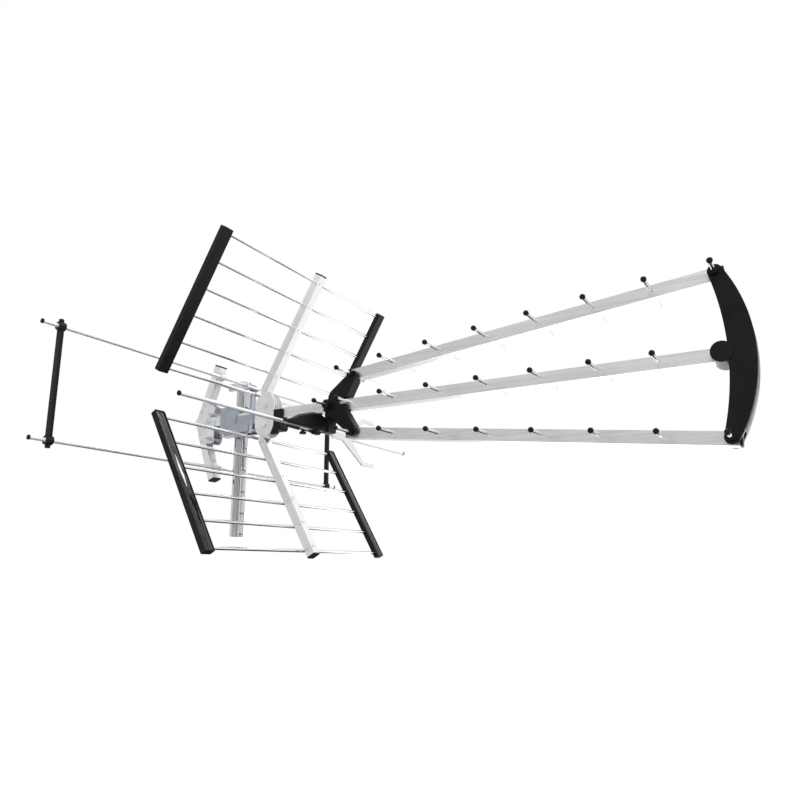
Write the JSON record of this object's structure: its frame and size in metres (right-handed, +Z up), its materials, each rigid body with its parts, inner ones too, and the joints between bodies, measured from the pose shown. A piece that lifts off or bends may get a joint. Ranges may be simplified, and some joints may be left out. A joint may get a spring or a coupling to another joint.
{
  "type": "tv antenna",
  "caption": "Roof television antenna: square booms with short director rods meet at a curved nose bracket, with a folding corner reflector, a mast clamp and long rear rods.",
  "frame": {"origin": "centre of the lower end of the mast tube", "axes": "+Z up along the mast, +X along the middle boom towards the nose bracket, +Y along the rods, away from the side with the ball caps"},
  "size_m": [1.0606, 0.8306, 0.5546],
  "materials": {
    "galvanised": "bright plated steel tube",
    "clamp_grey": "satin cast body",
    "zinc": "zinc plated",
    "aluminium": "satin drawn metal",
    "black": "satin moulded plastic"
  },
  "bodies": {
    "mast": {"mast_tube": "galvanised"},
    "antenna": {"clamp_body": "clamp_grey", "mast_jaw": "clamp_grey", "jaw_bolts": "zinc", "jaw_nuts": "zinc", "u_bolt": "zinc", "u_strap": "zinc", "head_bolts": "zinc", "head_nuts": "zinc", "head_plate_near": "zinc", "head_plate_far": "zinc", "gusset_near": "zinc", "gusset_far": "zinc", "rear_bolts": "zinc", "rear_nuts": "zinc", "rear_clips": "zinc", "nose_fasteners": "zinc", "rear_bracket_screws": "zinc", "feed_connector": "zinc", "boom_middle": "aluminium", "boom_top": "aluminium", "boom_bottom": "aluminium", "directors_top": "aluminium", "directors_middle": "aluminium", "directors_bottom": "aluminium", "vhf_dipole_rod": "aluminium", "rear_arm_upper": "aluminium", "rear_arm_lower": "aluminium", "rear_rod_upper": "aluminium", "rear_rod_lower": "aluminium", "rear_rivets": "aluminium", "dipole_fork": "aluminium", "tube_plugs": "black", "director_caps": "black", "nose_bracket_upper": "black", "nose_bracket_lower": "black", "rear_bracket_near": "black", "rear_bracket_far": "black", "dipole_housing": "black", "dipole_cover": "black", "stub_rod": "black", "vhf_holder": "black", "rod_caps": "black", "head_block": "black", "spacer_near": "black", "spacer_far": "black"},
    "upper_panel": {"upper_knuckle": "black", "upper_arm": "aluminium", "upper_arm_plug": "black", "upper_rods": "aluminium", "upper_rivets": "aluminium", "upper_bar_near": "black", "upper_bar_far": "black"},
    "lower_panel": {"lower_knuckle": "black", "lower_arm": "aluminium", "lower_arm_plug": "black", "lower_rods": "aluminium", "lower_rivets": "aluminium", "lower_bar_near": "black", "lower_bar_far": "black"}
  },
  "joints": [
    {"name": "azimuth", "type": "hinge", "parent": "mast", "child": "antenna", "pos_m": [0, 0, 0.232], "axis": [0, 0, 1], "continuous": true},
    {"name": "upper_fold", "type": "hinge", "parent": "antenna", "child": "upper_panel", "pos_m": [0.095, -0.03, 0.2517], "axis": [0, -1, 0], "range_deg": [0, 53]},
    {"name": "lower_fold", "type": "hinge", "parent": "antenna", "child": "lower_panel", "pos_m": [0.095, -0.03, 0.2123], "axis": [0, 1, 0], "range_deg": [0, 38]}
  ]
}
